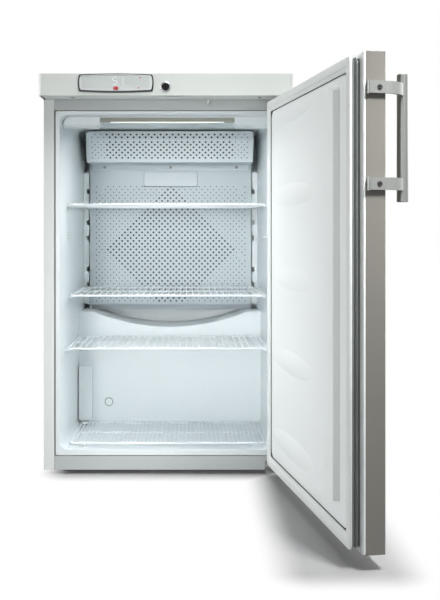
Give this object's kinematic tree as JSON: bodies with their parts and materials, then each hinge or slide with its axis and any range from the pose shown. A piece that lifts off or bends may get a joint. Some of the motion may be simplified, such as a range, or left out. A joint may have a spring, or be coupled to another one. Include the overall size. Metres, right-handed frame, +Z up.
{
  "type": "pharmaceutical refrigerator",
  "caption": "Under-counter pharmaceutical refrigerator with a hinged foam door, perforated fan-cooled interior, wire shelves, key lock and control fascia.",
  "frame": {"origin": "middle of the floor area that the whole object covers with its door open as pictured", "axes": "+Z up, +Y from the door side towards the back of the cabinet, +X to the hinge side"},
  "size_m": [0.6968, 1.1245, 0.896],
  "materials": {
    "cabinet_paint": "white powder coat, fine satin",
    "rail_paint": "grey painted steel",
    "foam": "rigid polyurethane foam",
    "liner_plastic": "smooth white moulded plastic",
    "cover_plastic": "pale warm grey moulded plastic",
    "dark_plastic": "dark moulded plastic",
    "display_plastic": "pale translucent panel",
    "red_plastic": "red button plastic",
    "chrome": "polished",
    "coated_sheet": "white coated perforated sheet",
    "steel": "zinc plated or satin steel",
    "evaporator_metal": "bare rolled sheet",
    "lamp_lens": "frosted lens",
    "coated_wire": "white plastic coated wire",
    "black_paint": "black enamel",
    "black_rubber": "soft black rubber",
    "door_steel": "silver grey metallic coat, satin",
    "seal_rubber": "pale grey soft seal",
    "handle_metal": "satin tube",
    "bush_plastic": "natural bearing plastic"
  },
  "bodies": {
    "cabinet": {"left_side_panel": "cabinet_paint", "right_side_panel": "cabinet_paint", "top_rail": "rail_paint", "bottom_rail": "rail_paint", "base_pan": "rail_paint", "back_panel": "rail_paint", "foam_insulation": "foam", "niche_cover": "rail_paint", "inner_liner": "liner_plastic", "breaker_strip": "dark_plastic", "top_cover": "cover_plastic", "fascia_base": "cover_plastic", "display_bezel": "dark_plastic", "display_panel": "display_plastic", "indicator_lamps": "red_plastic", "lock_barrel": "chrome", "lamp_housing": "liner_plastic", "lamp_strip": "lamp_lens", "evaporator_cover": "coated_sheet", "air_panel": "coated_sheet", "panel_screws": "steel", "sensor_cover": "liner_plastic", "drip_gutter": "liner_plastic", "evaporator_plate": "evaporator_metal", "evaporator_tube": "evaporator_metal", "fan_motor": "dark_plastic", "shelf_hooks": "liner_plastic", "notch_rails": "liner_plastic", "probe_cover": "liner_plastic", "port_plug": "liner_plastic", "compressor": "black_paint", "compressor_mounts": "black_rubber", "condenser_coil": "black_paint", "condenser_brackets": "black_paint", "evaporation_tray": "dark_plastic", "rear_feet": "dark_plastic", "hinge_bracket_lower": "steel", "hinge_bracket_upper": "steel", "power_inlet": "dark_plastic"},
    "door": {"door_skin": "door_steel", "door_foam": "foam", "door_liner": "liner_plastic", "door_gasket": "seal_rubber", "door_top_cap": "cover_plastic", "door_bottom_cap": "cover_plastic", "handle_tube": "handle_metal", "handle_brackets": "handle_metal", "handle_screws": "dark_plastic", "hinge_bushes": "bush_plastic"},
    "fan": {"fan_rotor": "liner_plastic"},
    "lock": {"lock_core": "dark_plastic", "lock_cam": "steel"},
    "button": {"alarm_button": "red_plastic"},
    "switch": {"door_switch": "cover_plastic"},
    "upper_shelf": {"shelf_top": "coated_wire"},
    "centre_shelf": {"shelf_middle": "coated_wire"},
    "low_shelf": {"shelf_lower": "coated_wire"},
    "rack": {"floor_rack": "coated_wire"},
    "foot_left": {"front_foot_left": "dark_plastic"},
    "foot_right": {"front_foot_right": "dark_plastic"}
  },
  "joints": [
    {"name": "door_hinge", "type": "hinge", "parent": "cabinet", "child": "door", "pos_m": [0.19663, -0.01806, 0.4345], "axis": [0, 0, 1], "range_deg": [-99.3, 20.7]},
    {"name": "fan_spin", "type": "hinge", "parent": "cabinet", "child": "fan", "pos_m": [-0.06837, 0.40494, 0.772], "axis": [0, 1, 0], "continuous": true},
    {"name": "lock_turn", "type": "hinge", "parent": "cabinet", "child": "lock", "pos_m": [-0.06937, -0.03706, 0.8665], "axis": [0, 1, 0], "range_deg": [0, 90]},
    {"name": "button_press", "type": "slide", "parent": "cabinet", "child": "button", "axis": [0, 1, 0], "range_m": [0, 0.0015], "stiffness_N_per_m": 400},
    {"name": "switch_swing", "type": "hinge", "parent": "cabinet", "child": "switch", "pos_m": [0.02563, 0.01094, 0.857], "axis": [1, 0, 0], "range_deg": [0, 8], "stiffness_Nm_per_rad": 0.05},
    {"name": "upper_shelf_slide", "type": "slide", "parent": "cabinet", "child": "upper_shelf", "axis": [0, -1, 0], "range_m": [0, 0.13]},
    {"name": "centre_shelf_slide", "type": "slide", "parent": "cabinet", "child": "centre_shelf", "axis": [0, -1, 0], "range_m": [0, 0.13]},
    {"name": "low_shelf_slide", "type": "slide", "parent": "cabinet", "child": "low_shelf", "axis": [0, -1, 0], "range_m": [0, 0.09]},
    {"name": "rack_slide", "type": "slide", "parent": "cabinet", "child": "rack", "axis": [0, -1, 0], "range_m": [0, 0.06]},
    {"name": "foot_left_turn", "type": "hinge", "parent": "cabinet", "child": "foot_left", "pos_m": [-0.29637, 0.06994, 0.005], "axis": [0, 0, 1], "continuous": true},
    {"name": "foot_right_turn", "type": "hinge", "parent": "cabinet", "child": "foot_right", "pos_m": [0.15963, 0.06994, 0.005], "axis": [0, 0, 1], "continuous": true}
  ]
}
